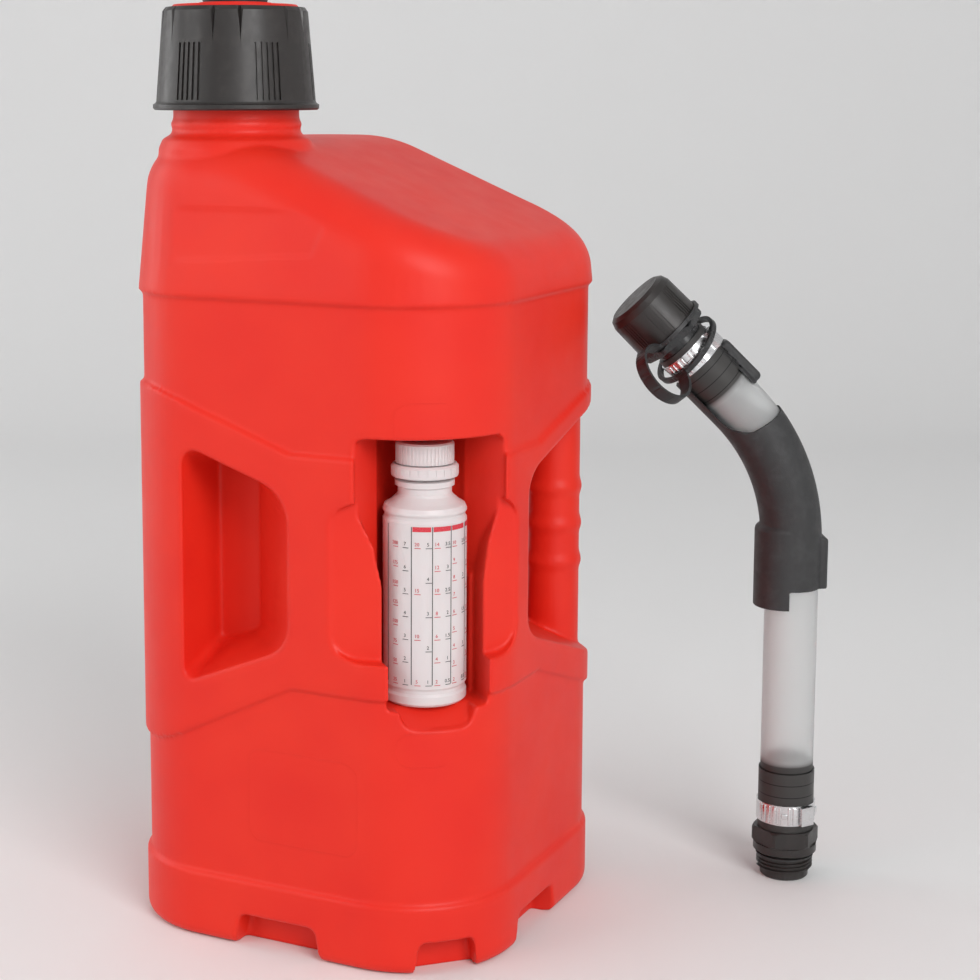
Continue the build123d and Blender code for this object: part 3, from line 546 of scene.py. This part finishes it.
# the pressed tabs on the hose clamps, each with its angle round the band in degrees, then width,
# height and how far it stands out; slip is how far along the hose the band sits (all millimetres)
clampTabs = {
    "tabs": [(-68, 1.8, 11.6, 0.9), (-57, 2.4, 11.6, 1.3), (-45, 1.6, 11.6, 1.0), (-33, 2.6, 11.6, 1.2),
             (-22, 1.4, 11.6, 1.0), (-13, 4.0, 3.4, 0.9), (-4, 1.8, 11.6, 1.1), (7, 2.8, 11.6, 1.4)],
    "places": {
        "lowerTabs": {"foot": (0.2295, 0.1437, 0.038), "lean": 0, "slip": 0},
        "upperTabs": {"foot": spoutLine["foot"], "lean": 45, "slip": 37.5},
    },
    "bandRadius": 18.7, "bandWidth": 13.0, "sunk": 0.6, "edge": 0.4, "hoseTurn": 207.5,
}


def makeTabs(name):
    place = clampTabs["places"][name]
    reach = clampTabs["bandRadius"] * mm
    made = []
    for angle, width, tall, proud in clampTabs["tabs"]:
        bpy.ops.mesh.primitive_cube_add(size=1)
        tab = bpy.context.object
        facing = radians(angle)
        tab.scale = ((proud + clampTabs["sunk"]) * mm, width * mm, tall * mm)
        tab.location = (reach * cos(facing), reach * sin(facing),
                        (place["slip"] + clampTabs["bandWidth"] / 2) * mm)
        tab.rotation_euler = (0, 0, facing)
        bakePlace(tab)
        rounding = tab.modifiers.new("rounding", "BEVEL")
        rounding.width = clampTabs["edge"] * mm
        rounding.segments = 3
        applyAll(tab)
        made.append(tab)
    tabs = joinPieces(made, name)
    # turn the tabs to face the front of the hose, lean them with the spout, then set them down
    turn = Matrix.Rotation(radians(clampTabs["hoseTurn"]), 4, "Z")
    lean = Matrix.Rotation(radians(place["lean"]), 4, "Y")
    spin = Matrix.Rotation(radians(90), 4, "Z")
    tabs.matrix_world = Matrix.Translation(place["foot"]) @ turn @ lean @ spin
    bakePlace(tabs)
    smoothShade(tabs, 40)
    finishPiece(tabs, "hose", finish["steel"])


for tabsName in clampTabs["places"]:
    makeTabs(tabsName)
print("clamps detailed")


def makeCapStrap():
    strap = copyOfNode("cap_tether", "capStrap")
    smoothShade(strap, 32)
    strap.data.materials.append(finish["strap"])
    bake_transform(strap)
    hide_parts("cap_tether")
    print("cap strap made")


makeCapStrap()

for nodeName, finishName in {
    "cap_collar": "black", "cap_insert": "red", "cap_gasket": "seal", "port_plug": "black",
    "plug_gasket": "seal", "mixing_bottle": "white", "bottle_cap": "white", "bottle_cap_liner": "seal",
    "tamper_ring": "white", "hose_tube": "hose", "hose_coupling": "black", "coupling_gasket": "seal",
    "lower_clamp": "steel", "upper_clamp": "steel", "spout_body": "gloss",
    "spout_cap": "black", "spout_cap_seal": "seal",
}.items():
    dress(nodeName, finish[finishName])
print("nodes dressed")


# lights give place, aim, width and height (metres) and power
studio = {
    "floorSize": 5.0, "wallHeight": 3.5, "sweepRadius": 0.9, "floorColour": (0.86, 0.86, 0.86),
    "floorRoughness": 0.7, "worldStrength": 2.1,
    "lights": {
        "keyLight": ((1.9, -1.5, 1.5), (0, 0, 0.28), (1.4, 1.4), 46),
        "fillLight": ((-1.6, -1.9, 1.1), (0, 0, 0.28), (1.6, 1.6), 17),
        "sideLight": ((-2.2, -0.2, 0.9), (0, 0, 0.3), (1.0, 1.6), 12),
    },
}


def makeFloor():
    # a floor that sweeps up into a plain wall behind the object
    backEdge = studio["floorSize"] / 2 - 0.01
    bpy.ops.mesh.primitive_plane_add(size=studio["floorSize"], location=(0, 0, 0))
    floor = bpy.context.object
    floor.name = "studioFloor"
    makeActive(floor)
    bpy.ops.object.mode_set(mode="EDIT")
    selectEdges(floor, lambda place: place.y > backEdge)
    bpy.ops.mesh.extrude_region_move(TRANSFORM_OT_translate={"value": (0, 0, studio["wallHeight"])})
    selectEdges(floor, lambda place: place.y > backEdge and place.z < 0.01)
    bpy.ops.mesh.bevel(offset=studio["sweepRadius"], segments=24, affect="EDGES")
    bpy.ops.mesh.select_all(action="SELECT")
    bpy.ops.mesh.normals_make_consistent(inside=False)
    bpy.ops.object.mode_set(mode="OBJECT")
    floor.rotation_euler = (0, 0, radians(viewing["azimuth"]))
    bakePlace(floor)
    smoothShade(floor, 40)
    material, shader = newMaterial("studioFloor", studio["floorColour"], studio["floorRoughness"])
    floor.data.materials.append(material)


def areaLight(name, place, target, size, power):
    light = bpy.data.lights.new(name, "AREA")
    light.shape = "RECTANGLE"
    light.size, light.size_y = size
    light.energy = power
    holder = bpy.data.objects.new(name, light)
    bpy.context.scene.collection.objects.link(holder)
    holder.location = place
    aim = Vector(target) - Vector(place)
    holder.rotation_euler = aim.to_track_quat("-Z", "Y").to_euler()


def makeStudio():
    makeFloor()
    for name, settings in studio["lights"].items():
        areaLight(name, *settings)
    world = bpy.data.worlds.new("studioWorld")
    world.use_nodes = True
    background = world.node_tree.nodes["Background"]
    background.inputs["Color"].default_value = (1, 1, 1, 1)
    background.inputs["Strength"].default_value = studio["worldStrength"]
    bpy.context.scene.world = world


# distance and height in metres, angles in degrees
viewing = {"distance": 1.2506, "height": 0.5079, "azimuth": 27.51, "yaw": -0.72, "pitch": 7.86,
           "lens": 74.87, "shiftX": 0.0967, "shiftY": -0.1228}


def makeCamera():
    camera = bpy.data.cameras.new("camera")
    camera.lens = viewing["lens"]
    camera.sensor_width = 36
    camera.shift_x = viewing["shiftX"]
    camera.shift_y = viewing["shiftY"]
    holder = bpy.data.objects.new("camera", camera)
    bpy.context.scene.collection.objects.link(holder)
    angle = radians(viewing["azimuth"])
    reach = viewing["distance"]
    holder.location = (sin(angle) * reach, -cos(angle) * reach, viewing["height"])
    heading = radians(viewing["azimuth"] + viewing["yaw"])
    holder.rotation_euler = (radians(90 - viewing["pitch"]), 0, heading)
    bpy.context.scene.camera = holder


makeStudio()
makeCamera()
bpy.context.scene.view_settings.view_transform = "Standard"
print("studio ready")
